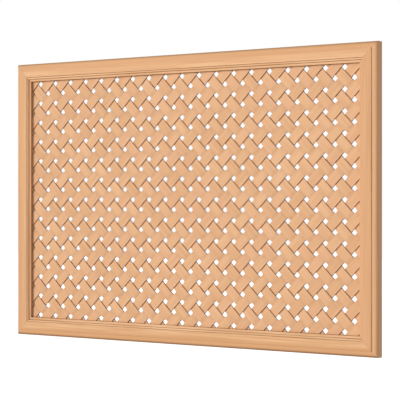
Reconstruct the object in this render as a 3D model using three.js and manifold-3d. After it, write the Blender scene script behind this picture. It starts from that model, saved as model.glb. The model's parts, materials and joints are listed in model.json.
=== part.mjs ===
// A flat screen that hangs in front of a radiator: a mitred frame of moulded wood round a panel of
// flat wooden strips, woven at 45 degrees with a square hole between each four strips.
// Millimetres, +Z up. The front faces -Y. The origin is the middle of the frame's bottom edge.

import * as THREE from 'three';
import { mergeVertices } from 'three/addons/utils/BufferGeometryUtils.js';
import Module from 'manifold-3d';

// Frame
const FRAME_WIDTH = 900;
const FRAME_HEIGHT = 600;
const FRAME_THICKNESS = 21;
const MITRE_GAP = 0.2;

// Moulding, from the outer edge inwards: a rounded edge, a step up to the flat field, and two steps
// down to the inner bead, each with a quirk at its foot
const EDGE_RADIUS = 6;
const EDGE_WIDTH = 12.4;
const EDGE_STEP = 1.6;
const FIELD_WIDTH = 17.4;
const FILLET_STEP = 1.1;
const FILLET_WIDTH = 4.1;
const BEAD_STEP = 2;
const BEAD_WIDTH = 5.1;
const BEAD_RADIUS = 0.8;
const QUIRK_WIDTH = 0.6;
const QUIRK_DEPTH = 0.8;
const LIP_DEPTH = 9;
const ARC_STEPS = 5;

// Rebate behind the lip, and the beads that close it
const REBATE_WIDTH = 8;
const PANEL_EDGE_CLEARANCE = 1;
const PANEL_FACE_CLEARANCE = 0.2;
const BEAD_CLEARANCE = 0.2;
const BEAD_CHAMFER = 1.5;

// Splines in the mitres
const SPLINE_LENGTH = 24;
const SPLINE_WIDTH = 18;
const SPLINE_THICKNESS = 3;
const SPLINE_INSET = 15;
const SPLINE_CLEARANCE = 0.2;

// Woven panel
const STRIP_WIDTH = 21;
const STRIP_THICKNESS = 1.2;
const STRIP_GAP = 9;
const STRIP_CLEARANCE = 0.2;
const WEAVE_SHIFT = -6.5;
const BINDING_WIDTH = 3;
const BINDING_CLEARANCE = 0.3;

// Hooks
const HOOK_INSET = 170;
const HOOK_WIDTH = 34;
const HOOK_STEEL = 2;
const HOOK_BEND_RADIUS = 3;
const HOOK_MOUTH = 50;
const HOOK_LIP = 26;
const HOOK_TOP_DROP = 2;
const HOOK_TRAVEL = 7;
const HOOK_SLOT_MARGIN = 4;
const RUNNING_GAP = 0.2;

// Screws
const SCREW_INSET = 17;
const SCREW_SPACING = 16;
const SCREW_SHANK_RADIUS = 2;
const SCREW_HEAD_RADIUS = 4;
const SCREW_HEAD_HEIGHT = 2.5;
const SCREW_GRIP = 12;
const SCREW_CLEARANCE = 0.2;
const SLOT_CLEARANCE = 0.3;
const ROUND_SIDES = 20;

// Felt pads
const PAD_RADIUS = 10;
const PAD_INSET = 60;

const MOULDING_WIDTH = EDGE_WIDTH + FIELD_WIDTH + FILLET_WIDTH + BEAD_WIDTH;
const FRONT = -FRAME_THICKNESS / 2;
const BACK = FRAME_THICKNESS / 2;
const MIDDLE_HEIGHT = FRAME_HEIGHT / 2;
const STRIP_PITCH = STRIP_WIDTH + STRIP_GAP;
const PANEL_THICKNESS = 2 * STRIP_THICKNESS + STRIP_CLEARANCE;
const PANEL_INSET = MOULDING_WIDTH - REBATE_WIDTH + PANEL_EDGE_CLEARANCE;
const PANEL_HALF_WIDTH = FRAME_WIDTH / 2 - PANEL_INSET;
const PANEL_HALF_HEIGHT = FRAME_HEIGHT / 2 - PANEL_INSET;
const PANEL_FRONT = FRONT + LIP_DEPTH + PANEL_FACE_CLEARANCE;
const PANEL_MIDDLE = PANEL_FRONT + PANEL_THICKNESS / 2;
const PANEL_BACK = PANEL_FRONT + PANEL_THICKNESS;
const PLATE_FRONT = BACK + RUNNING_GAP;
const PLATE_BACK = PLATE_FRONT + HOOK_STEEL;
const HEAD_SEAT = PLATE_BACK + RUNNING_GAP;
const CONTACT_PLANE = HEAD_SEAT + SCREW_HEAD_HEIGHT;
const SCREW_HEIGHT = FRAME_HEIGHT - SCREW_INSET;
const HOOK_CENTRE = FRAME_WIDTH / 2 - HOOK_INSET;

const pale = { color: 0xe6b589, roughness: 0.55, metalness: 0 };
const WOOD = new THREE.MeshStandardMaterial(pale);
const RISING_WOOD = new THREE.MeshStandardMaterial({ ...pale, color: 0xe8b78c });
const FALLING_WOOD = new THREE.MeshStandardMaterial({ ...pale, color: 0xe4b186 });
const HIDDEN_WOOD = new THREE.MeshStandardMaterial({ ...pale, color: 0xc99a6d, roughness: 0.7 });
const STEEL = new THREE.MeshStandardMaterial({ color: 0xb8bbbd, roughness: 0.35, metalness: 0.9 });
const FELT = new THREE.MeshStandardMaterial({ color: 0x8a7a68, roughness: 0.95, metalness: 0 });

const wasm = await Module();
wasm.setup();

const screen = new THREE.Group();

function addPiece(name, geometry, material) {
  const mesh = new THREE.Mesh(geometry, material);
  mesh.name = name;
  screen.add(mesh);
}

// A closed geometry as a solid, and back
function solidFrom(geometry) {
  const bare = geometry.clone();
  bare.deleteAttribute('normal');
  bare.deleteAttribute('uv');
  const merged = mergeVertices(bare, 1e-4);
  return new wasm.Manifold(new wasm.Mesh({
    numProp: 3,
    vertProperties: new Float32Array(merged.attributes.position.array),
    triVerts: new Uint32Array(merged.index.array),
  }));
}

function geometryFrom(solid) {
  const mesh = solid.getMesh();
  const geometry = new THREE.BufferGeometry();
  geometry.setAttribute('position', new THREE.BufferAttribute(mesh.vertProperties, 3));
  geometry.setIndex(new THREE.BufferAttribute(mesh.triVerts, 1));
  return geometry;
}

function boxSolid(size, centre) {
  const box = new THREE.BoxGeometry(...size);
  box.translate(...centre);
  return solidFrom(box);
}

// Points of an arc from one angle to another, in degrees, without its first point
function arc(x, y, radius, from, to, steps) {
  return Array.from({ length: steps }, (_, step) => {
    const angle = THREE.MathUtils.degToRad(from + (to - from) * (step + 1) / steps);
    return new THREE.Vector2(x + radius * Math.cos(angle), y + radius * Math.sin(angle));
  });
}

// The moulding's section: x runs in from the outer edge, y is the depth below the front
function mouldingSection() {
  const fieldEnd = EDGE_WIDTH + FIELD_WIDTH;
  const filletEnd = fieldEnd + FILLET_WIDTH;
  const beadTop = FILLET_STEP + BEAD_STEP;
  return [
    new THREE.Vector2(0, FRAME_THICKNESS),
    new THREE.Vector2(0, EDGE_STEP + EDGE_RADIUS),
    ...arc(EDGE_RADIUS, EDGE_STEP + EDGE_RADIUS, EDGE_RADIUS, 180, 270, ARC_STEPS),
    new THREE.Vector2(EDGE_WIDTH, EDGE_STEP),
    new THREE.Vector2(EDGE_WIDTH, 0),
    new THREE.Vector2(fieldEnd, 0),
    ...quirk(fieldEnd, FILLET_STEP),
    new THREE.Vector2(filletEnd, FILLET_STEP),
    ...quirk(filletEnd, beadTop),
    new THREE.Vector2(MOULDING_WIDTH - BEAD_RADIUS, beadTop),
    ...arc(MOULDING_WIDTH - BEAD_RADIUS, beadTop + BEAD_RADIUS, BEAD_RADIUS, 270, 360, ARC_STEPS),
    new THREE.Vector2(MOULDING_WIDTH, LIP_DEPTH),
    new THREE.Vector2(MOULDING_WIDTH - REBATE_WIDTH, LIP_DEPTH),
    new THREE.Vector2(MOULDING_WIDTH - REBATE_WIDTH, FRAME_THICKNESS),
  ];
}

// The narrow groove at the foot of a step that comes down to this depth
function quirk(inset, foot) {
  return [
    new THREE.Vector2(inset, foot + QUIRK_DEPTH),
    new THREE.Vector2(inset + QUIRK_WIDTH, foot + QUIRK_DEPTH),
    new THREE.Vector2(inset + QUIRK_WIDTH, foot),
  ];
}

function beadSection() {
  const outer = MOULDING_WIDTH - REBATE_WIDTH + BEAD_CLEARANCE;
  const near = PANEL_BACK + PANEL_FACE_CLEARANCE - FRONT;
  return [
    new THREE.Vector2(outer, near),
    new THREE.Vector2(MOULDING_WIDTH, near),
    new THREE.Vector2(MOULDING_WIDTH, FRAME_THICKNESS - BEAD_CHAMFER),
    new THREE.Vector2(MOULDING_WIDTH - BEAD_CHAMFER, FRAME_THICKNESS),
    new THREE.Vector2(outer, FRAME_THICKNESS),
  ];
}

// A bar with this section along one side of the frame, with both ends cut to the mitre.
// Turns of 0, 90, 180 and 270 degrees give the bottom, right, top and left sides.
function mitredBar(section, turn) {
  const upright = turn % 180 !== 0;
  const length = upright ? FRAME_HEIGHT : FRAME_WIDTH;
  const across = upright ? FRAME_WIDTH : FRAME_HEIGHT;
  const outline = new THREE.Shape(section);
  const bar = new THREE.ExtrudeGeometry(outline, { depth: 1, steps: 1, bevelEnabled: false });
  const places = bar.attributes.position;
  for (let index = 0; index < places.count; index += 1) {
    const inset = places.getX(index);
    const depth = places.getY(index);
    const side = places.getZ(index) < 0.5 ? 1 : -1;
    const along = side * (length / 2 - inset - MITRE_GAP / Math.SQRT2);
    places.setXYZ(index, along, FRONT + depth, inset - across / 2);
  }
  bar.rotateY(-THREE.MathUtils.degToRad(turn));
  bar.translate(0, 0, MIDDLE_HEIGHT);
  return solidFrom(bar);
}

// The four corners, as the sides of the centre that they lie on
const CORNERS = {
  bottom_left: [-1, -1],
  bottom_right: [1, -1],
  top_left: [-1, 1],
  top_right: [1, 1],
};

// A flat box across a mitre, grown on every side by a clearance
function splineSolid([sideX, sideZ], clearance) {
  const grown = 2 * clearance;
  const size = [SPLINE_LENGTH + grown, SPLINE_THICKNESS + grown, SPLINE_WIDTH + grown];
  const spline = new THREE.BoxGeometry(...size);
  spline.rotateY(sideX * sideZ * -Math.PI / 4);
  spline.translate(
    sideX * (FRAME_WIDTH / 2 - SPLINE_INSET),
    (FRONT + LIP_DEPTH + BACK) / 2,
    MIDDLE_HEIGHT + sideZ * (FRAME_HEIGHT / 2 - SPLINE_INSET),
  );
  return solidFrom(spline);
}

// A turned solid whose axis runs along Y: the profile gives radius and Y
function turned(profile) {
  return new THREE.LatheGeometry(profile.map(([radius, y]) => new THREE.Vector2(radius, y)), ROUND_SIDES);
}

const HOOK_SIDES = { left: -1, right: 1 };
const SCREW_SIDES = { left: -1, right: 1 };

function screwPlaces() {
  return Object.entries(HOOK_SIDES).flatMap(([hook, hookSide]) =>
    Object.entries(SCREW_SIDES).map(([screw, screwSide]) => ({
      name: `${hook}_hook_${screw}_screw`,
      x: hookSide * HOOK_CENTRE + screwSide * SCREW_SPACING / 2,
    })));
}

// Frame members, with a slot at each mitre for its spline and, in the top rail, the screws' holes
function addFrame() {
  const sides = { bottom_rail: 0, right_stile: 90, top_rail: 180, left_stile: 270 };
  const splineSlots = Object.values(CORNERS).map((corner) => splineSolid(corner, SPLINE_CLEARANCE));
  const holeRadius = SCREW_SHANK_RADIUS + SCREW_CLEARANCE;
  const holeEnd = BACK - SCREW_GRIP - SCREW_CLEARANCE;
  for (const [name, turn] of Object.entries(sides)) {
    let member = mitredBar(mouldingSection(), turn);
    splineSlots.forEach((slot) => {
      member = member.subtract(slot);
    });
    if (name === 'top_rail') {
      screwPlaces().forEach(({ x }) => {
        const hole = turned([[0, holeEnd], [holeRadius, holeEnd], [holeRadius, BACK + 1], [0, BACK + 1]]);
        hole.translate(x, 0, SCREW_HEIGHT);
        member = member.subtract(solidFrom(hole));
      });
    }
    addPiece(name, geometryFrom(member), WOOD);
  }
  for (const [name, corner] of Object.entries(CORNERS)) {
    addPiece(`${name}_spline`, geometryFrom(splineSolid(corner, 0)), HIDDEN_WOOD);
  }
}

function addRetainingBeads() {
  const sides = { bottom_bead: 0, right_bead: 90, top_bead: 180, left_bead: 270 };
  for (const [name, turn] of Object.entries(sides)) {
    addPiece(name, geometryFrom(mitredBar(beadSection(), turn)), WOOD);
  }
}

// Side view of one strip: in front at one crossing, behind at the next, straight between them.
// x runs along the strip, y is the distance behind the panel's middle.
function wavySection(first, last, number) {
  const lift = (STRIP_THICKNESS + STRIP_CLEARANCE) / 2;
  const nearSide = [];
  for (let crossing = first; crossing <= last; crossing += 1) {
    const inFront = (number + crossing) % 2 !== 0;
    const near = (inFront ? -lift : lift) - STRIP_THICKNESS / 2;
    const centre = STRIP_PITCH * (crossing + 0.5);
    nearSide.push(new THREE.Vector2(centre - STRIP_WIDTH / 2, near));
    nearSide.push(new THREE.Vector2(centre + STRIP_WIDTH / 2, near));
  }
  const farSide = nearSide.map(({ x, y }) => new THREE.Vector2(x, y + STRIP_THICKNESS)).reverse();
  return [...nearSide, ...farSide];
}

// From the weave's own axes, x along the rising strips and z along the falling ones, to the frame's
function placeWeave(geometry) {
  geometry.rotateY(-Math.PI / 4);
  geometry.translate(WEAVE_SHIFT, PANEL_MIDDLE, MIDDLE_HEIGHT);
  return geometry;
}

function panelBox(inset, thickness) {
  const size = [2 * (PANEL_HALF_WIDTH - inset), thickness, 2 * (PANEL_HALF_HEIGHT - inset)];
  return boxSolid(size, [0, PANEL_MIDDLE, MIDDLE_HEIGHT]);
}

// How far strip number n's nearer edge lies from the weave's centre
function nearEdge(number) {
  return Math.abs(STRIP_PITCH * (number + 0.5)) - STRIP_WIDTH / 2;
}

// Strips are numbered from the weave's centre. Those that show in the frame's opening are kept:
// the shift moves both ends of that range by the same amount, in opposite senses.
function stripNumbers(shiftSense) {
  const openingCorner = (FRAME_WIDTH + FRAME_HEIGHT - 4 * MOULDING_WIDTH) / 2 / Math.SQRT2;
  const shift = shiftSense * WEAVE_SHIFT / Math.SQRT2;
  const most = Math.ceil((openingCorner + STRIP_PITCH) / STRIP_PITCH) + 1;
  const numbers = Array.from({ length: 2 * most + 1 }, (_, index) => index - most);
  return numbers.filter((number) => {
    const reach = openingCorner - Math.sign(number + 0.5) * shift;
    return nearEdge(number) < reach;
  });
}

// One strip along x, in place across, long enough to pass under the frame at both ends.
// Turned by 90 degrees about the weave's centre it is a falling strip: the turn reverses the order
// of its crossings, and so also which of them are in front.
function wavyStrip(number) {
  const crossings = stripNumbers(1);
  const first = crossings[0] - 1;
  const last = crossings[crossings.length - 1] + 1;
  const section = new THREE.Shape(wavySection(first, last, number));
  const strip = new THREE.ExtrudeGeometry(section, { depth: STRIP_WIDTH, bevelEnabled: false });
  strip.translate(0, 0, STRIP_PITCH * (number + 0.5) - STRIP_WIDTH / 2);
  return strip;
}

// The rising strips' ends are glued into a thin binding round the panel's edge
function addRisingStrips() {
  const strips = stripNumbers(-1).map((number) => solidFrom(placeWeave(wavyStrip(number))));
  const binding = panelBox(0, PANEL_THICKNESS).subtract(panelBox(BINDING_WIDTH, 2 * PANEL_THICKNESS));
  const clipped = wasm.Manifold.union(strips).intersect(panelBox(BINDING_WIDTH / 2, 2 * PANEL_THICKNESS));
  addPiece('rising_strips', geometryFrom(clipped.add(binding)), RISING_WOOD);
}

// The falling strips pass behind where the rising ones are in front, one piece each
function addFallingStrips() {
  const inside = panelBox(BINDING_WIDTH + BINDING_CLEARANCE, 2 * PANEL_THICKNESS);
  stripNumbers(1).forEach((number, index) => {
    const strip = wavyStrip(number).rotateY(Math.PI / 2);
    const name = `falling_strip_${String(index + 1).padStart(2, '0')}`;
    addPiece(name, geometryFrom(solidFrom(placeWeave(strip)).intersect(inside)), FALLING_WOOD);
  });
}

// Side view of a hook: x is Y in the frame, y is Z. A plate, an arm over the radiator and a lip.
function hookSection() {
  const top = FRAME_HEIGHT - HOOK_TOP_DROP;
  const slotHalf = HOOK_TRAVEL + SCREW_SHANK_RADIUS + SLOT_CLEARANCE;
  const plateFoot = SCREW_HEIGHT - slotHalf - HOOK_SLOT_MARGIN;
  const lipFront = PLATE_BACK + HOOK_MOUTH;
  const lipBack = lipFront + HOOK_STEEL;
  const outer = HOOK_BEND_RADIUS;
  const inner = HOOK_BEND_RADIUS - HOOK_STEEL;
  const bendHeight = top - outer;
  return [
    new THREE.Vector2(PLATE_FRONT, plateFoot),
    new THREE.Vector2(PLATE_BACK, plateFoot),
    new THREE.Vector2(PLATE_BACK, bendHeight),
    ...arc(PLATE_FRONT + outer, bendHeight, inner, 180, 90, ARC_STEPS),
    new THREE.Vector2(lipBack - outer, top - HOOK_STEEL),
    ...arc(lipBack - outer, bendHeight, inner, 90, 0, ARC_STEPS),
    new THREE.Vector2(lipFront, top - HOOK_LIP),
    new THREE.Vector2(lipBack, top - HOOK_LIP),
    new THREE.Vector2(lipBack, bendHeight),
    ...arc(lipBack - outer, bendHeight, outer, 0, 90, ARC_STEPS),
    new THREE.Vector2(PLATE_FRONT + outer, top),
    ...arc(PLATE_FRONT + outer, bendHeight, outer, 90, 180, ARC_STEPS),
  ];
}

// An upright slot through the hook's plate, round at both ends, wide enough for a screw's shank
function slotSolid(x) {
  const radius = SCREW_SHANK_RADIUS + SLOT_CLEARANCE;
  const outline = [
    new THREE.Vector2(radius, -HOOK_TRAVEL),
    ...arc(0, HOOK_TRAVEL, radius, 0, 180, 2 * ARC_STEPS),
    ...arc(0, -HOOK_TRAVEL, radius, 180, 360, 2 * ARC_STEPS).slice(0, -1),
  ];
  outline.splice(1, 0, new THREE.Vector2(radius, HOOK_TRAVEL));
  outline.splice(2 + 2 * ARC_STEPS, 0, new THREE.Vector2(-radius, -HOOK_TRAVEL));
  const section = new THREE.Shape(outline);
  const slot = new THREE.ExtrudeGeometry(section, { depth: 2 * HOOK_STEEL, bevelEnabled: false });
  slot.rotateX(Math.PI / 2);
  slot.translate(x, PLATE_BACK + HOOK_STEEL / 2, SCREW_HEIGHT);
  return solidFrom(slot);
}

function addHooks() {
  for (const [side, sign] of Object.entries(HOOK_SIDES)) {
    const centre = sign * HOOK_CENTRE;
    const section = new THREE.Shape(hookSection());
    const strip = new THREE.ExtrudeGeometry(section, { depth: HOOK_WIDTH, bevelEnabled: false });
    strip.applyMatrix4(new THREE.Matrix4().set(0, 0, 1, 0, 1, 0, 0, 0, 0, 1, 0, 0, 0, 0, 0, 1));
    strip.translate(centre - HOOK_WIDTH / 2, 0, 0);
    let hook = solidFrom(strip);
    Object.values(SCREW_SIDES).forEach((screwSide) => {
      hook = hook.subtract(slotSolid(centre + screwSide * SCREW_SPACING / 2));
    });
    addPiece(`${side}_hook`, geometryFrom(hook), STEEL);
  }
}

// Pan-head screws, which hold the hooks' plates through their slots
function addScrews() {
  const tip = BACK - SCREW_GRIP;
  const profile = [
    [0, tip],
    [SCREW_SHANK_RADIUS, tip + SCREW_SHANK_RADIUS],
    [SCREW_SHANK_RADIUS, HEAD_SEAT],
    [SCREW_HEAD_RADIUS, HEAD_SEAT],
    [SCREW_HEAD_RADIUS, CONTACT_PLANE - SCREW_HEAD_HEIGHT / 2],
    [SCREW_HEAD_RADIUS - SCREW_HEAD_HEIGHT / 2, CONTACT_PLANE],
    [0, CONTACT_PLANE],
  ];
  screwPlaces().forEach(({ name, x }) => {
    const screw = turned(profile);
    screw.translate(x, 0, SCREW_HEIGHT);
    addPiece(name, geometryFrom(solidFrom(screw)), STEEL);
  });
}

// Felt pads, as thick as the hooks and their screw heads, so that the screen hangs plumb
function addPads() {
  for (const [side, sign] of Object.entries(HOOK_SIDES)) {
    const pad = turned([[0, BACK], [PAD_RADIUS, BACK], [PAD_RADIUS, CONTACT_PLANE], [0, CONTACT_PLANE]]);
    pad.translate(sign * (FRAME_WIDTH / 2 - PAD_INSET), 0, SCREW_INSET);
    addPiece(`${side}_pad`, geometryFrom(solidFrom(pad)), FELT);
  }
}

addFrame();
addRetainingBeads();
addRisingStrips();
addFallingStrips();
addHooks();
addScrews();
addPads();

export default screen;
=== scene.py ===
import json
import math

import bmesh
import bpy
from mathutils import Matrix, Vector


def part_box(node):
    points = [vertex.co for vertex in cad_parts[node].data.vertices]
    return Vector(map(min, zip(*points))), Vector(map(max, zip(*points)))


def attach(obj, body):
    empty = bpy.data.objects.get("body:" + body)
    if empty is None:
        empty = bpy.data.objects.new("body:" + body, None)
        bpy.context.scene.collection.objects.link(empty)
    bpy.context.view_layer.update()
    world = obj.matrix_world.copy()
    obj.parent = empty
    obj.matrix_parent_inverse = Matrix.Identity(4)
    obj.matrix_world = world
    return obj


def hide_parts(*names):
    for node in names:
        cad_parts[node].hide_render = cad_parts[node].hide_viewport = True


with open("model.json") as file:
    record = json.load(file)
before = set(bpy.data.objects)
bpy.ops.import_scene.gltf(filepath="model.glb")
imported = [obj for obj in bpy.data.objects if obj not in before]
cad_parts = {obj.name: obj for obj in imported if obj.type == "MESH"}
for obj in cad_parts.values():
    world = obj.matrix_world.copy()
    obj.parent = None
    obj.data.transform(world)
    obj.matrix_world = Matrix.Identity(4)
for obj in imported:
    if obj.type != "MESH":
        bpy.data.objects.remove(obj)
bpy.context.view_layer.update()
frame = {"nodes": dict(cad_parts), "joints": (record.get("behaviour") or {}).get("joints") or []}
bpy.context.scene.view_settings.view_transform = "Standard"


# The camera stands to the right of the screen, level with its middle, and looks past the woven
# panel at a slant. Its distance and lens come from the panel's perspective in the photograph.
def level_camera(place, turn_deg, focal_px, picture_px):
    data = bpy.data.cameras.new("camera")
    data.sensor_width = 36.0
    data.lens = data.sensor_width * focal_px / picture_px
    data.clip_end = 50.0
    camera = bpy.data.objects.new("camera", data)
    camera.location = place
    camera.rotation_euler = (math.radians(90), 0, math.radians(turn_deg))
    bpy.context.scene.collection.objects.link(camera)
    bpy.context.scene.camera = camera


panel_low, panel_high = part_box("rising_strips")
panel_front = panel_low.y
camera_right = 1.7548
camera_in_front = 2.5056
camera_height = 0.2989
camera_place = (camera_right, panel_front - camera_in_front, camera_height)
level_camera(camera_place, turn_deg=34.40, focal_px=1482.9, picture_px=400)


# The moulded wood of the frame: each member is a length of moulding with a rounded outer edge, a
# step up to a broad flat field, and two steps down to an inner bead, each with a narrow quirk at
# its foot. The members are mitred, and a loose spline crosses each mitre.
class Value:
    """A shader socket that takes part in sums and products."""

    def __init__(self, tree, socket):
        self.tree = tree
        self.socket = socket

    def maths(self, operation, *values):
        return add_node(self.tree, "ShaderNodeMath", {"operation": operation}, values)[0]

    def __add__(self, other):
        return self.maths("ADD", self, other)

    def __radd__(self, other):
        return self.maths("ADD", other, self)

    def __sub__(self, other):
        return self.maths("SUBTRACT", self, other)

    def __rsub__(self, other):
        return self.maths("SUBTRACT", other, self)

    def __mul__(self, other):
        return self.maths("MULTIPLY", self, other)

    def __rmul__(self, other):
        return self.maths("MULTIPLY", other, self)

    def __truediv__(self, other):
        return self.maths("DIVIDE", self, other)

    def floor(self):
        return self.maths("FLOOR", self)

    def fraction(self):
        return self.maths("FRACT", self)

    def absolute(self):
        return self.maths("ABSOLUTE", self)

    def near(self, middle, reach):
        """Is 1 within reach of the middle, and fades to 0 just outside."""
        fade = 0.0001
        return (self - middle).absolute().ramp(reach + fade, reach - fade)

    def ramp(self, low, high, to_low=0.0, to_high=1.0):
        """Eases from to_low, at low, to to_high, at high."""
        settings = {"interpolation_type": "SMOOTHSTEP", "clamp": True}
        limits = (low, high, to_low, to_high)
        return add_node(self.tree, "ShaderNodeMapRange", settings, (self, *limits))[0]


def add_node(tree, kind, settings=(), inputs=()):
    """Adds one node and returns its outputs as values. Inputs are in order, or named in a dict."""
    node = tree.nodes.new(kind)
    for name, setting in dict(settings).items():
        setattr(node, name, setting)
    named = inputs.items() if isinstance(inputs, dict) else enumerate(inputs)
    for key, given in named:
        socket = node.inputs[key]
        if isinstance(given, Value):
            tree.links.new(given.socket, socket)
        else:
            socket.default_value = given
    return [Value(tree, socket) for socket in node.outputs]


def new_finish(name, **fixed):
    """A material with a Principled shader. Fixed holds the sockets that are the same all over."""
    material = bpy.data.materials.new(name)
    material.use_nodes = True
    tree = material.node_tree
    tree.nodes.clear()
    shader = tree.nodes.new("ShaderNodeBsdfPrincipled")
    output = tree.nodes.new("ShaderNodeOutputMaterial")
    tree.links.new(shader.outputs["BSDF"], output.inputs["Surface"])
    for socket, setting in fixed.items():
        shader.inputs[socket.replace("_", " ")].default_value = setting
    return material, tree, shader


def drive(tree, shader, socket, value):
    tree.links.new(value.socket, shader.inputs[socket])


def srgb(red, green, blue):
    """A colour as a picture shows it, 0 to 255, turned to the light that it stands for."""

    def light(part):
        return part / 12.92 if part < 0.04045 else ((part + 0.055) / 1.055) ** 2.4

    return tuple(light(part / 255) for part in (red, green, blue))


def colour_mix(tree, amount, first, second):
    """Mixes two colours. Mix's colour inputs are its seventh and eighth."""
    first = first if isinstance(first, Value) else (*first, 1.0)
    second = second if isinstance(second, Value) else (*second, 1.0)
    settings = {"data_type": "RGBA"}
    return add_node(tree, "ShaderNodeMix", settings, {0: amount, 6: first, 7: second})[2]


def parts_of(tree, vector):
    return add_node(tree, "ShaderNodeSeparateXYZ", (), (vector,))


def joined(tree, x, y, z):
    return add_node(tree, "ShaderNodeCombineXYZ", (), (x, y, z))[0]


def object_place(tree):
    return add_node(tree, "ShaderNodeTexCoord")[3]


def noise(tree, place, scale, detail, roughness=0.5):
    inputs = {"Vector": place, "Scale": scale, "Detail": detail, "Roughness": roughness}
    return add_node(tree, "ShaderNodeTexNoise", {"noise_dimensions": "3D"}, inputs)[0]


def bump(tree, shader, height, distance, strength):
    inputs = {"Strength": strength, "Distance": distance, "Height": height}
    drive(tree, shader, "Normal", add_node(tree, "ShaderNodeBump", (), inputs)[0])


def grain(tree, along, across, deep, offset):
    """Straight wood grain: long fine fibres and slow, wide bands. Returns both, about 0 to 1."""
    fibres = noise(tree, joined(tree, along * 6 + offset, across * 260, deep * 260), 1.0, 4.0, 0.6)
    bands = noise(tree, joined(tree, along * 1.5 + offset, across * 45, deep * 45), 1.0, 2.0, 0.5)
    return fibres, bands


def inset_of(x, z):
    """How far in from the frame's outer edge a point is."""
    from_side = half_length - x.absolute()
    from_end = half_height - (z - half_height).absolute()
    return from_side.maths("MINIMUM", from_side, from_end)


def wood_finish(name, colours, along_axis, roughness=0.55, outer_shade=0.0, quirk_shade=0.65, lip_shade=0.25):
    """Satin wood of two colours, light and dark, whose grain runs along one axis.

    The last three arguments set its painted shade: how far it darkens outside the field, and how brown
    it is in the quirks and at the foot of the lip. Its outer rim and the back edge of its outer side
    get painted shade as well.
    """
    light, dark = colours
    roll_start, roll_end = 0.012, 0.024
    rim_width, rim_front, rim_deep = 0.007, 0.0065, 0.0090
    back_rim, back_deep, back_end = 0.0002, 0.017, 0.021
    quirk_middle, quirk_reach = 0.0002, 0.0004
    quirks_deep, quirks_end = 0.0050, 0.0060
    lip_start, lip_face = 0.0372, 0.0385
    material, tree, shader = new_finish(name, Specular_IOR_Level=0.08)
    x, y, z = parts_of(tree, object_place(tree))
    along, across = (x, z) if along_axis == "X" else (z, x)
    fibres, bands = grain(tree, along, across, y, 0.0)
    tone = fibres.ramp(0.3, 0.75) * 0.7 + bands.ramp(0.3, 0.7) * 0.3
    inset = inset_of(x, z)
    # Painted shade: the tone darkens towards the outer edge, outside the field.
    tone = tone * inset.ramp(roll_start, roll_end, 1.0 - outer_shade, 1.0)
    colour = colour_mix(tree, tone, dark, light)
    depth = y - frame_front
    # Painted shade, laid in brown: in the quirks, at the foot of the lip, on the outer rim (darker
    # towards the bottom) and at the back edge of the outer side.
    painted_quirk_shade = [inset.near(start + quirk_middle, quirk_reach) for start in (field_end, fillet_end)]
    painted_quirk_shade = painted_quirk_shade[0].maths("MAXIMUM", *painted_quirk_shade) * depth.ramp(quirks_end, quirks_deep) * quirk_shade
    lip_foot = depth.near(lip_depth * 0.8, lip_depth * 0.2)
    painted_lip_foot_shade = inset.ramp(lip_start, lip_face) * lip_foot * lip_shade
    painted_rim_shade = inset.ramp(0.0, rim_width, outer_shade, 0.0) * depth.ramp(rim_front, rim_deep, 1.0, 0.3)
    painted_rim_shade = painted_rim_shade * z.ramp(0.0, half_height, 1.2, 0.7)
    back = inset.ramp(back_rim, 0.0) * depth.ramp(back_deep, back_end) * 0.4
    painted_shade_and_brown = painted_quirk_shade.maths("MAXIMUM", painted_quirk_shade, painted_lip_foot_shade) + painted_rim_shade + back
    drive(tree, shader, "Base Color", colour_mix(tree, painted_shade_and_brown * 0.7, colour, painted_shade_brown))
    drive(tree, shader, "Roughness", roughness + (0.5 - fibres) * 0.2)
    bump(tree, shader, fibres, 0.0001, 0.35)
    return material


def deselect():
    if bpy.context.mode != "OBJECT":
        bpy.ops.object.mode_set(mode="OBJECT")
    bpy.ops.object.select_all(action="DESELECT")


def start_piece(name, add_primitive, **size):
    """Adds a primitive, names it and leaves it alone selected, in object mode."""
    deselect()
    add_primitive(**size)
    piece = bpy.context.object
    piece.name = name
    piece.data.name = name
    return piece


def edit(piece):
    """Opens the piece's mesh for editing."""
    deselect()
    bpy.context.view_layer.objects.active = piece
    piece.select_set(True)
    bpy.ops.object.mode_set(mode="EDIT")


def select(piece, kind, chosen):
    """In edit mode, selects the vertices or faces that the test chooses."""
    mesh = bmesh.from_edit_mesh(piece.data)
    bpy.ops.mesh.select_mode(type=kind)
    bpy.ops.mesh.select_all(action="DESELECT")
    parts = mesh.faces if kind == "FACE" else mesh.verts
    for part in parts:
        if chosen(part):
            part.select_set(True)
    mesh.select_flush_mode()
    bmesh.update_edit_mesh(piece.data)


def settle(piece):
    """Puts the piece's place into its mesh, so that its object stands at the origin."""
    deselect()
    bpy.context.view_layer.objects.active = piece
    piece.select_set(True)
    bpy.ops.object.transform_apply(location=True, rotation=True, scale=True)


def apply_modifiers(piece):
    """Turns the piece's modifiers into mesh, first to last."""
    deselect()
    bpy.context.view_layer.objects.active = piece
    piece.select_set(True)
    for modifier in list(piece.modifiers):
        bpy.ops.object.modifier_apply(modifier=modifier.name)


def thicken(piece, thickness, even=False):
    """Gives a surface its thickness, half to each side. Even keeps it the same round bends."""
    wall = piece.modifiers.new("thickness", "SOLIDIFY")
    wall.thickness = thickness
    wall.offset = 0.0
    wall.use_even_offset = even
    apply_modifiers(piece)


def ease_edges(piece, width, limit_deg, segments=2):
    """Rounds the piece's edges where its faces turn by more than the limit."""
    bevel = piece.modifiers.new("eased_edges", "BEVEL")
    bevel.width = width
    bevel.segments = segments
    bevel.limit_method = "ANGLE"
    bevel.angle_limit = math.radians(limit_deg)
    apply_modifiers(piece)


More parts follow.
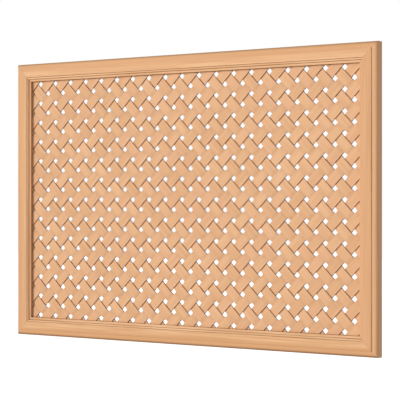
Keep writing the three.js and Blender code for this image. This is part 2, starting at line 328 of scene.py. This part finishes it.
def start_point(name, place):
    """A piece of one vertex, selected and open for editing, from which an outline is drawn."""
    piece = start_piece(name, bpy.ops.mesh.primitive_plane_add, size=0.001)
    edit(piece)
    select(piece, "VERT", lambda vertex: True)
    bpy.ops.mesh.merge(type="CENTER")
    bpy.ops.transform.translate(value=place)
    return piece


def draw_along(route):
    """Extrudes what is selected from each point of the route to the next."""
    for start, end in zip(route, route[1:]):
        step = tuple(end_part - start_part for start_part, end_part in zip(start, end))
        bpy.ops.mesh.extrude_region_move(TRANSFORM_OT_translate={"value": step})


def make_normals_consistent():
    bpy.ops.mesh.select_all(action="SELECT")
    bpy.ops.mesh.normals_make_consistent(inside=False)


def cut(piece, point, outward):
    """Cuts the piece's mesh at a plane, drops what lies outward of it and closes the cut."""
    edit(piece)
    bpy.ops.mesh.select_mode(type="VERT")
    bpy.ops.mesh.select_all(action="SELECT")
    plane = {"plane_co": point, "plane_no": outward}
    bpy.ops.mesh.bisect(use_fill=True, clear_outer=True, threshold=1e-6, **plane)
    bpy.ops.object.mode_set(mode="OBJECT")


def finish_piece(piece, body, slot, material, *nodes, smooth_deg=35):
    """Shades the piece, gives it its material, parents it to what it moves with and hides the parts it
    stands for.
    """
    settle(piece)
    bpy.ops.object.shade_smooth_by_angle(angle=math.radians(smooth_deg))
    piece.data.materials.clear()
    piece.data.materials.append(material)
    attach(piece, body)
    if nodes:
        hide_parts(*nodes)


def arc_points(x, y, radius, start_deg, end_deg, steps):
    """Points along an arc about x and y, both ends included."""
    sweep = end_deg - start_deg
    turns = [math.radians(start_deg + sweep * step / steps) for step in range(steps + 1)]
    return [(x + radius * math.cos(turn), y + radius * math.sin(turn)) for turn in turns]


stile_low, stile_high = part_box("right_stile")
rail_low, rail_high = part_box("top_rail")
bead_low, bead_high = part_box("top_bead")
moulding_width = stile_high.x - stile_low.x
frame_front, frame_back = stile_low.y, stile_high.y
frame_thickness = frame_back - frame_front
half_length = stile_high.x
frame_height = rail_high.z
half_height = frame_height / 2
fit_gap = 0.0002
rebate_edge = frame_height - bead_high.z - fit_gap
lip_depth = panel_front - frame_front - fit_gap
edge_width = 0.0124
field_end = edge_width + 0.0174
fillet_end = field_end + 0.0041
quirk_width = 0.0006
quirk_depth = 0.0008


def quirk(inset, foot):
    """A step's lower part: its foot, and the narrow groove there."""
    bottom = foot + quirk_depth
    return [(inset, bottom), (inset + quirk_width, bottom), (inset + quirk_width, foot)]


def moulding_outline():
    """The moulding's section, in from the outer edge and down from the front."""
    edge_radius, edge_step = 0.0060, 0.0016
    fillet_step, bead_step, bead_radius = 0.0011, 0.0020, 0.0008
    ease, back_ease = 0.0003, 0.0005
    outline = [(0.0, frame_thickness - back_ease), (0.0, edge_step + edge_radius)]
    outline += arc_points(edge_radius, edge_step + edge_radius, edge_radius, 180, 270, 10)[1:]
    outline += [(edge_width, edge_step), (edge_width, ease)]
    outline += arc_points(edge_width + ease, ease, ease, 180, 270, 3)[1:]
    outline += [(field_end - ease, 0.0), (field_end, ease)]
    outline += quirk(field_end, fillet_step)
    bead_top = fillet_step + bead_step
    outline += [(fillet_end - ease, fillet_step), (fillet_end, fillet_step + ease)]
    outline += quirk(fillet_end, bead_top)
    round_end, round_deep = moulding_width - bead_radius, bead_top + bead_radius
    outline += arc_points(round_end, round_deep, bead_radius, 270, 360, 6)
    outline += [(moulding_width, lip_depth), (rebate_edge, lip_depth)]
    outline += [(rebate_edge, frame_thickness), (back_ease, frame_thickness)]
    return outline


def mitred_bar(name, outline, turn_deg, half_run, half_across):
    """A bar along one side of the frame: its section is drawn, extruded and cut to the mitres."""
    joint_gap = 0.00014
    inset, depth = outline[0]
    bar = start_point(name, (-half_run, frame_front + depth, inset - half_across))
    draw_along([(0, depth, inset) for inset, depth in outline])
    bpy.ops.mesh.select_all(action="SELECT")
    bpy.ops.mesh.edge_face_add()
    bpy.ops.mesh.extrude_region_move(TRANSFORM_OT_translate={"value": (2 * half_run, 0, 0)})
    make_normals_consistent()
    bpy.ops.object.mode_set(mode="OBJECT")
    for side in (-1, 1):
        corner = (side * (half_run - joint_gap), 0, -half_across)
        cut(bar, corner, (side, 0, 1))
    bar.rotation_euler = (0, -math.radians(turn_deg), 0)
    bar.location = (0, 0, half_height)
    settle(bar)
    return bar


# The brown in which painted shade is laid into the frame's wood.
painted_shade_brown = srgb(120, 76, 40)
# The four members are one wood, given lit and shaded copies of its colours and of its painted shade
# amounts: the bottom rail's colours are painted lighter, and the two stiles' differ a little.
top_colours = srgb(250, 202, 156), srgb(221, 168, 121)
bottom_colours = srgb(255, 210, 165), srgb(217, 164, 116)
left_colours = srgb(234, 182, 137), srgb(213, 161, 117)
right_colours = srgb(233, 181, 136), srgb(220, 167, 122)
top_wood = wood_finish("top_wood", top_colours, "X", outer_shade=0.75, quirk_shade=0.95, lip_shade=1.0)
bottom_wood = wood_finish("bottom_wood", bottom_colours, "X", outer_shade=0.9, quirk_shade=0.95, lip_shade=1.0)
left_wood = wood_finish("left_wood", left_colours, "Z", outer_shade=0.45, quirk_shade=0.4, lip_shade=0.5)
right_wood = wood_finish("right_wood", right_colours, "Z")
members = {
    "bottom_rail": (0, half_length, half_height, bottom_wood),
    "right_stile": (90, half_height, half_length, right_wood),
    "top_rail": (180, half_length, half_height, top_wood),
    "left_stile": (270, half_height, half_length, left_wood),
}
for node, (turn_deg, half_run, half_across, material) in members.items():
    member = mitred_bar(f"{node}_moulding", moulding_outline(), turn_deg, half_run, half_across)
    finish_piece(member, "frame", "frame_wood", material, node)


# The woven panel: flat wood strips laid both ways at 45 degrees, each passing over one strip and
# under the next. Between each four strips a square hole is left open.
# One long strip is shaped, and each strip of the panel is a copy of it, cut to the panel's edge.
strip_width = 0.0210
strip_thickness = 0.0012
strip_gap = 0.0090
strip_pitch = strip_width + strip_gap
weave_shift = -0.0065
panel_middle = (panel_low.y + panel_high.y) / 2
weave_lift = (panel_high.y - panel_low.y - strip_thickness) / 2
binding_width = 0.0030
rise_steps = 3


def long_strip(name, crossings, first_is_front):
    """A strip along X about the origin: flat over one crossing, then easing down under the next."""
    strip = start_piece(name, bpy.ops.mesh.primitive_plane_add, size=strip_width)
    edit(strip)
    select(strip, "VERT", lambda vertex: vertex.co.x > 0)
    bpy.ops.mesh.delete(type="VERT")
    select(strip, "VERT", lambda vertex: True)
    side = -1 if first_is_front else 1
    start = -crossings * strip_pitch / 2
    bpy.ops.transform.translate(value=(start + strip_width / 2, 0, 0))
    bpy.ops.transform.rotate(value=math.pi / 2, orient_axis="X", center_override=(0, 0, 0))
    rise = [math.sin(math.pi / 2 * step / rise_steps) for step in range(rise_steps + 1)]
    runs = [strip_gap / 2 / rise_steps] * rise_steps
    runs += [strip_width] + runs
    levels = rise + rise[::-1]
    for crossing in range(crossings):
        height = side * weave_lift * (-1) ** crossing
        for run, old_level, level in zip(runs, levels, levels[1:]):
            step = (run, height * (level - old_level), 0)
            bpy.ops.mesh.extrude_region_move(TRANSFORM_OT_translate={"value": step})
    bpy.ops.object.mode_set(mode="OBJECT")
    settle(strip)
    return strip


strip_light = srgb(239, 190, 147)
strip_dark = srgb(218, 166, 122)
strip_pink = srgb(232, 178, 140)
# A near-black brown for the strips' cut edges and for the painted shade along them and by the lip.
edge_and_shade_brown = srgb(96, 34, 0)


def weave_finish(name, rising, seed):
    """Thin wood, its grain along the strip, with a tone for each strip, brown cut edges and painted
    shade: a wide dark band along the strip's edge that faces away from the lamp, and a darkening near
    the frame's lip.
    """
    material, tree, shader = new_finish(name, Specular_IOR_Level=0.08)
    x, y, z = parts_of(tree, object_place(tree))
    right, up = x - weave_shift, z - half_height
    along_rising = (right + up) * math.sqrt(0.5)
    along_falling = (up - right) * math.sqrt(0.5)
    along, across = (along_rising, along_falling) if rising else (along_falling, along_rising)
    place = across / strip_pitch
    number = place.floor()
    settings = {"noise_dimensions": "1D"}
    tone = add_node(tree, "ShaderNodeTexWhiteNoise", settings, {"W": number + seed})[0]
    fibres, bands = grain(tree, along, across, y, number * 3.7)
    shade = fibres.ramp(0.3, 0.75) * 0.4 + bands.ramp(0.3, 0.7) * 0.3 + tone * 0.3
    colour = colour_mix(tree, shade, strip_dark, strip_light)
    patch = noise(tree, joined(tree, along * 9, number * 2.3, seed), 1.0, 2.0)
    colour = colour_mix(tree, patch.ramp(0.45, 0.75, 0.0, 0.5), colour, strip_pink)
    # Brown cut edges with painted shade: the edge that faces right, away from the lamp, gets a wide
    # dark band that stands in for its shadow; the other edge only a thin brown line.
    strip_edge = strip_width / 2
    from_middle = (place.fraction() - 0.5) * (-strip_pitch if rising else strip_pitch)
    painted_shade_band = from_middle.ramp(strip_edge - 0.0009, strip_edge - 0.0005)
    fine_edge = (from_middle * -1).ramp(strip_edge - 0.0002, strip_edge)
    cut_edges_and_shade = painted_shade_band.maths("MAXIMUM", painted_shade_band, fine_edge)
    # Painted shade on the strips near the frame's lip.
    painted_lip_shade = inset_of(x, z).ramp(moulding_width + 0.0012, moulding_width + 0.0004) * 0.5
    painted_shade_and_brown = cut_edges_and_shade.maths("MAXIMUM", cut_edges_and_shade, painted_lip_shade)
    drive(tree, shader, "Base Color", colour_mix(tree, painted_shade_and_brown, colour, edge_and_shade_brown))
    drive(tree, shader, "Roughness", 0.55 + (0.5 - fibres) * 0.2)
    bump(tree, shader, fibres, 0.00006, 0.3)
    return material


rising_wood = weave_finish("rising_wood", rising=True, seed=11.0)
falling_wood = weave_finish("falling_wood", rising=False, seed=47.0)

crossings = 34
falling_nodes = sorted(node for node in frame["nodes"] if node.startswith("falling_strip"))
most = len(falling_nodes) // 2
patterns = {}
for first_is_front in (True, False):
    pattern = long_strip("long_strip", crossings, first_is_front)
    thicken(pattern, strip_thickness)
    ease_edges(pattern, width=0.0002, limit_deg=50)
    patterns[first_is_front] = pattern

panel_edge_x = panel_high.x - binding_width / 2
panel_edge_up = (panel_high.z - panel_low.z) / 2 - binding_width / 2
for rising in (True, False):
    turn = math.radians(-45 if rising else -135)
    for order, number in enumerate(range(-most, most)):
        front_parity = 1 if rising else 0
        first_is_front = (number - crossings // 2) % 2 == front_parity
        strip = patterns[first_is_front].copy()
        strip.data = strip.data.copy()
        strip.name = f"{'rising' if rising else 'falling'}_strip_{order + 1:02d}_wood"
        bpy.context.scene.collection.objects.link(strip)
        side = strip_pitch * (number + 0.5) * (1 if rising else -1)
        strip.data.transform(Matrix.Translation((0, 0, side)))
        strip.rotation_euler = (0, turn, 0)
        strip.location = (weave_shift, panel_middle, half_height)
        settle(strip)
        for normal, reach in (((1, 0, 0), panel_edge_x), ((0, 0, 1), panel_edge_up)):
            for sign in (-1, 1):
                outward = Vector(normal) * sign
                point = outward * reach + Vector((0, 0, half_height))
                cut(strip, point, outward)
        slot, material = ("rising_wood", rising_wood) if rising else ("falling_wood", falling_wood)
        node = "rising_strips" if rising else falling_nodes[order]
        finish_piece(strip, "frame", slot, material, node, smooth_deg=20)
for pattern in patterns.values():
    bpy.data.objects.remove(pattern)


# The strips' ends are glued to a thin binding round the panel's edge, which sits in the rebate.
# It is a flat ring of raw wood, out of sight between the moulding's lip and the beads behind.
def edge_binding():
    ring = start_piece("edge_binding", bpy.ops.mesh.primitive_plane_add, size=1)
    ring.scale = (2 * panel_high.x, panel_high.z - panel_low.z, 1)
    ring.rotation_euler = (math.pi / 2, 0, 0)
    ring.location = (0, panel_middle, half_height)
    settle(ring)
    edit(ring)
    bpy.ops.mesh.select_all(action="SELECT")
    bpy.ops.mesh.inset(thickness=binding_width / 2)
    bpy.ops.mesh.delete(type="FACE")
    bpy.ops.object.mode_set(mode="OBJECT")
    thicken(ring, panel_high.y - panel_low.y)
    return ring


raw_wood = wood_finish("raw_wood", (srgb(214, 170, 126), srgb(188, 142, 99)), "X", roughness=0.7)
finish_piece(edge_binding(), "frame", "rising_wood", raw_wood, "rising_strips")


# Retaining beads close the rebate behind the panel: plain square wood with one corner taken off,
# mitred like the frame, flush with its back and with the moulding's inner edge.
def retaining_bead(name, node, turn_deg, half_run, half_across):
    low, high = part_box(node)
    inner_corner = 0.0015
    depth = low.y - frame_front
    outline = [
        (rebate_edge + fit_gap, depth),
        (moulding_width, depth),
        (moulding_width, frame_thickness - inner_corner),
        (moulding_width - inner_corner, frame_thickness),
        (rebate_edge + fit_gap, frame_thickness),
    ]
    bead = mitred_bar(name, outline, turn_deg, half_run, half_across)
    ease_edges(bead, width=0.0003, limit_deg=30)
    return bead


for node, (turn_deg, half_run, half_across, material) in members.items():
    side = node.split("_")[0]
    bead = retaining_bead(f"{side}_bead_wood", f"{side}_bead", turn_deg, half_run, half_across)
    finish_piece(bead, "frame", "frame_wood", material, f"{side}_bead")


# Loose splines cross the mitres inside the frame's corners, in a slot in both members.
# They are raw wood and never show.
for node in frame["nodes"]:
    if node.endswith("_spline"):
        spline = frame["nodes"][node]
        spline.data.materials.clear()
        spline.data.materials.append(raw_wood)


# Two hooks carry the screen on the radiator's top edge. Each is one strip of zinc-plated steel,
# bent twice, with two upright slots in its plate that let the screen be set level.
def zinc_finish(name, colour, roughness):
    """Zinc plating: a faint spangle, with fine rolling lines up and down."""
    material, tree, shader = new_finish(name, Metallic=1.0)
    place = object_place(tree)
    x, y, z = parts_of(tree, place)
    settings = {"feature": "F1"}
    spangle = add_node(tree, "ShaderNodeTexVoronoi", settings, {"Vector": place, "Scale": 220.0})[1]
    cell = parts_of(tree, spangle)[0]
    lines = noise(tree, joined(tree, x * 900, y * 900, z * 12), 1.0, 2.0)
    pale, deep = (tuple(part * share for part in colour) for share in (1.0, 0.78))
    drive(tree, shader, "Base Color", colour_mix(tree, cell * 0.5 + lines * 0.5, deep, pale))
    drive(tree, shader, "Roughness", roughness + cell * 0.12 + lines * 0.08)
    bump(tree, shader, lines, 0.00003, 0.25)
    return material


hook_steel = 0.0020
hook_bend = 0.0030
hook_lip = 0.0260


def bent_hook(name, node):
    """The strip's middle surface is drawn along its bends, then thickened."""
    low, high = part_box(node)
    half_steel = hook_steel / 2
    radius = hook_bend - half_steel
    bend_steps = 6
    width = high.x - low.x
    front, back, top = low.y + half_steel, high.y - half_steel, high.z - half_steel
    hook = start_piece(name, bpy.ops.mesh.primitive_plane_add, size=width)
    edit(hook)
    select(hook, "VERT", lambda vertex: vertex.co.y > 0)
    bpy.ops.mesh.delete(type="VERT")
    select(hook, "VERT", lambda vertex: True)
    middle = (low.x + high.x) / 2
    bpy.ops.transform.translate(value=(middle, width / 2 + front, low.z))
    first_bend = arc_points(radius, 0, radius, 180, 90, bend_steps)[1:]
    route = [(front, low.z), (front, top - radius)]
    route += [(front + y, top - radius + z) for y, z in first_bend]
    route += [(back - radius, top)]
    route += arc_points(back - radius, top - radius, radius, 90, 0, bend_steps)[1:]
    route += [(back, high.z - hook_lip)]
    draw_along([(0, y, z) for y, z in route])
    make_normals_consistent()
    bpy.ops.object.mode_set(mode="OBJECT")
    thicken(hook, hook_steel, even=True)
    return hook


def cut_away(piece, cutter):
    """Takes the cutter's shape out of the piece."""
    difference = piece.modifiers.new("cut", "BOOLEAN")
    difference.object = cutter
    difference.operation = "DIFFERENCE"
    difference.solver = "EXACT"
    apply_modifiers(piece)
    bpy.data.objects.remove(cutter)


def slot_cutter(x, y, z, half_travel, radius):
    """A round bar across the plate, stretched up and down to the slot's length."""
    bar = {"vertices": 32, "radius": radius, "depth": 0.010, "location": (x, y, z)}
    cutter = start_piece("slot_cutter", bpy.ops.mesh.primitive_cylinder_add, **bar)
    cutter.rotation_euler = (math.pi / 2, 0, 0)
    settle(cutter)
    edit(cutter)
    for sign in (-1, 1):
        select(cutter, "VERT", lambda vertex: sign * (vertex.co.z - z) > 0.0001)
        bpy.ops.transform.translate(value=(0, 0, sign * half_travel))
    bpy.ops.object.mode_set(mode="OBJECT")
    return cutter


zinc = zinc_finish("zinc_plate", srgb(196, 199, 202), roughness=0.32)
hook_travel = frame["joints"][0]["range_m"][1]
slot_radius = 0.0023
for side in ("left", "right"):
    hook_node = f"{side}_hook"
    plate_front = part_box(hook_node)[0].y
    hook = bent_hook(f"{side}_hook_steel", hook_node)
    for screw_side in ("left", "right"):
        low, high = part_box(f"{side}_hook_{screw_side}_screw")
        slot_x, slot_z = (low.x + high.x) / 2, (low.z + high.z) / 2
        cutter = slot_cutter(slot_x, plate_front + hook_steel / 2, slot_z, hook_travel, slot_radius)
        cut_away(hook, cutter)
    ease_edges(hook, width=0.00025, limit_deg=40)
    finish_piece(hook, f"{side}_hook", "steel", zinc, hook_node)


# Pan-head wood screws hold each hook's plate against the top rail, through its slots.
# Each is turned steel, zinc plated, with a cross recess in its domed head.
shank_radius = 0.0020
head_height = 0.0025
recess_length, recess_depth, recess_width = 0.0042, 0.0024, 0.0009


def pan_head_screw(name, node):
    """Half the screw's section is drawn from its tip to the top of its dome, then spun round."""
    low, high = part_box(node)
    axis_x, axis_z = (low.x + high.x) / 2, (low.z + high.z) / 2
    head_radius = (high.x - low.x) / 2
    head_seat = high.y - head_height
    shoulder = head_seat + 0.0006
    dome = arc_points(0, 0, 1, 0, 90, 6)[:-1]
    profile = [(0.0, low.y), (shank_radius, low.y + shank_radius), (shank_radius, head_seat)]
    profile += [(head_radius - 0.0002, head_seat), (head_radius, head_seat + 0.0003)]
    profile += [(head_radius * out, shoulder + (high.y - shoulder) * up) for out, up in dome]
    profile += [(0.0, high.y)]
    screw = start_point(name, (axis_x, low.y, axis_z))
    draw_along([(radius, y, 0) for radius, y in profile])
    bpy.ops.mesh.select_all(action="SELECT")
    bpy.ops.mesh.spin(steps=32, angle=2 * math.pi, center=(axis_x, 0, axis_z), axis=(0, 1, 0))
    bpy.ops.mesh.select_all(action="SELECT")
    bpy.ops.mesh.remove_doubles(threshold=0.00001)
    bpy.ops.mesh.normals_make_consistent(inside=False)
    bpy.ops.object.mode_set(mode="OBJECT")
    for turn_deg in (45, 135):
        recess = {"size": 1, "location": (axis_x, high.y, axis_z)}
        cutter = start_piece("recess_cutter", bpy.ops.mesh.primitive_cube_add, **recess)
        cutter.scale = (recess_length, recess_depth, recess_width)
        cutter.rotation_euler = (0, math.radians(turn_deg), 0)
        settle(cutter)
        cut_away(screw, cutter)
    return screw


for side in ("left", "right"):
    for screw_side in ("left", "right"):
        screw_node = f"{side}_hook_{screw_side}_screw"
        screw = pan_head_screw(f"{screw_node}_steel", screw_node)
        finish_piece(screw, "frame", "steel", zinc, screw_node)


# Felt pads on the back of the bottom rail hold it off the radiator, as far as the hooks hold the
# top. Each is a punched disc of dense felt, glued on, with a softly rounded rim.
def felt_finish(name, light, dark):
    material, tree, shader = new_finish(name, Roughness=0.95, Sheen_Weight=0.4, Sheen_Roughness=0.6)
    place = object_place(tree)
    nap = noise(tree, place, 2600.0, 4.0, 0.7) * 0.6 + noise(tree, place, 500.0, 2.0) * 0.4
    drive(tree, shader, "Base Color", colour_mix(tree, nap, dark, light))
    bump(tree, shader, nap, 0.0003, 0.6)
    return material


def felt_disc(name, node):
    low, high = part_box(node)
    size = {"vertices": 64, "radius": (high.x - low.x) / 2, "depth": high.y - low.y}
    disc = start_piece(name, bpy.ops.mesh.primitive_cylinder_add, **size)
    disc.rotation_euler = (math.pi / 2, 0, 0)
    disc.location = (low + high) / 2
    settle(disc)
    edit(disc)
    select(disc, "FACE", lambda face: face.normal.y > 0.9)
    bpy.ops.mesh.inset(thickness=0.0001)
    bpy.ops.object.mode_set(mode="OBJECT")
    ease_edges(disc, width=0.0008, limit_deg=60, segments=4)
    return disc


felt = felt_finish("grey_felt", srgb(158, 144, 126), srgb(110, 98, 84))
for side in ("left", "right"):
    pad = felt_disc(f"{side}_pad_felt", f"{side}_pad")
    finish_piece(pad, "frame", "felt", felt, f"{side}_pad")


# The floor is plain and pale, well below the hung screen. What the camera sees of it and of the
# backdrop is white, and the screen's shadow still darkens it.
def pale_floor(height, half_size, shown_light, fill_glow):
    """Shown_light is how bright the camera and reflections see it; every other ray sees a faint glow,
    painted light that brightens the screen from below.
    """
    floor = start_piece("floor", bpy.ops.mesh.primitive_plane_add, size=2 * half_size)
    floor.location = (0, 0, height)
    settle(floor)
    material = bpy.data.materials.new("pale_floor")
    material.use_nodes = True
    tree = material.node_tree
    tree.nodes.clear()
    seen = add_node(tree, "ShaderNodeLightPath")
    shown = seen[0].maths("MAXIMUM", seen[0], seen[3])
    own_light = shown * (shown_light - fill_glow) + fill_glow
    glow = add_node(tree, "ShaderNodeEmission", (), {"Strength": own_light})[0]
    matt = add_node(tree, "ShaderNodeBsdfDiffuse", (), {"Color": (0.8, 0.8, 0.8, 1.0)})[0]
    both = add_node(tree, "ShaderNodeAddShader", (), (glow, matt))[0]
    output = tree.nodes.new("ShaderNodeOutputMaterial")
    tree.links.new(both.socket, output.inputs["Surface"])
    floor.data.materials.append(material)


def even_world(strength):
    world = bpy.data.worlds.new("even_light")
    bpy.context.scene.world = world
    world.use_nodes = True
    tree = world.node_tree
    tree.nodes.clear()
    seen = add_node(tree, "ShaderNodeLightPath")[0]
    steepness = parts_of(tree, add_node(tree, "ShaderNodeTexCoord")[0])[2].absolute()
    level = strength * (1.0 - 0.9 * steepness) * (1.0 - seen) + seen
    inputs = {"Color": (1, 1, 1, 1), "Strength": level}
    light = add_node(tree, "ShaderNodeBackground", (), inputs)[0]
    output = tree.nodes.new("ShaderNodeOutputWorld")
    tree.links.new(light.socket, output.inputs["Surface"])


def broad_lamp(name, strength, left_deg, up_deg, spread_deg):
    """A far, broad lamp in front of the screen, so many degrees to the left and above level."""
    data = bpy.data.lights.new(name, "SUN")
    data.energy = strength
    data.angle = math.radians(spread_deg)
    lamp = bpy.data.objects.new(name, data)
    lamp.rotation_euler = (math.radians(90 - up_deg), 0, -math.radians(left_deg))
    bpy.context.scene.collection.objects.link(lamp)


even_world(strength=0.79)
broad_lamp("key_lamp", strength=1.72, left_deg=36, up_deg=11, spread_deg=20)
broad_lamp("fill_lamp", strength=0.55, left_deg=50, up_deg=12, spread_deg=70)
pale_floor(height=-0.35, half_size=12.0, shown_light=0.76, fill_glow=0.12)
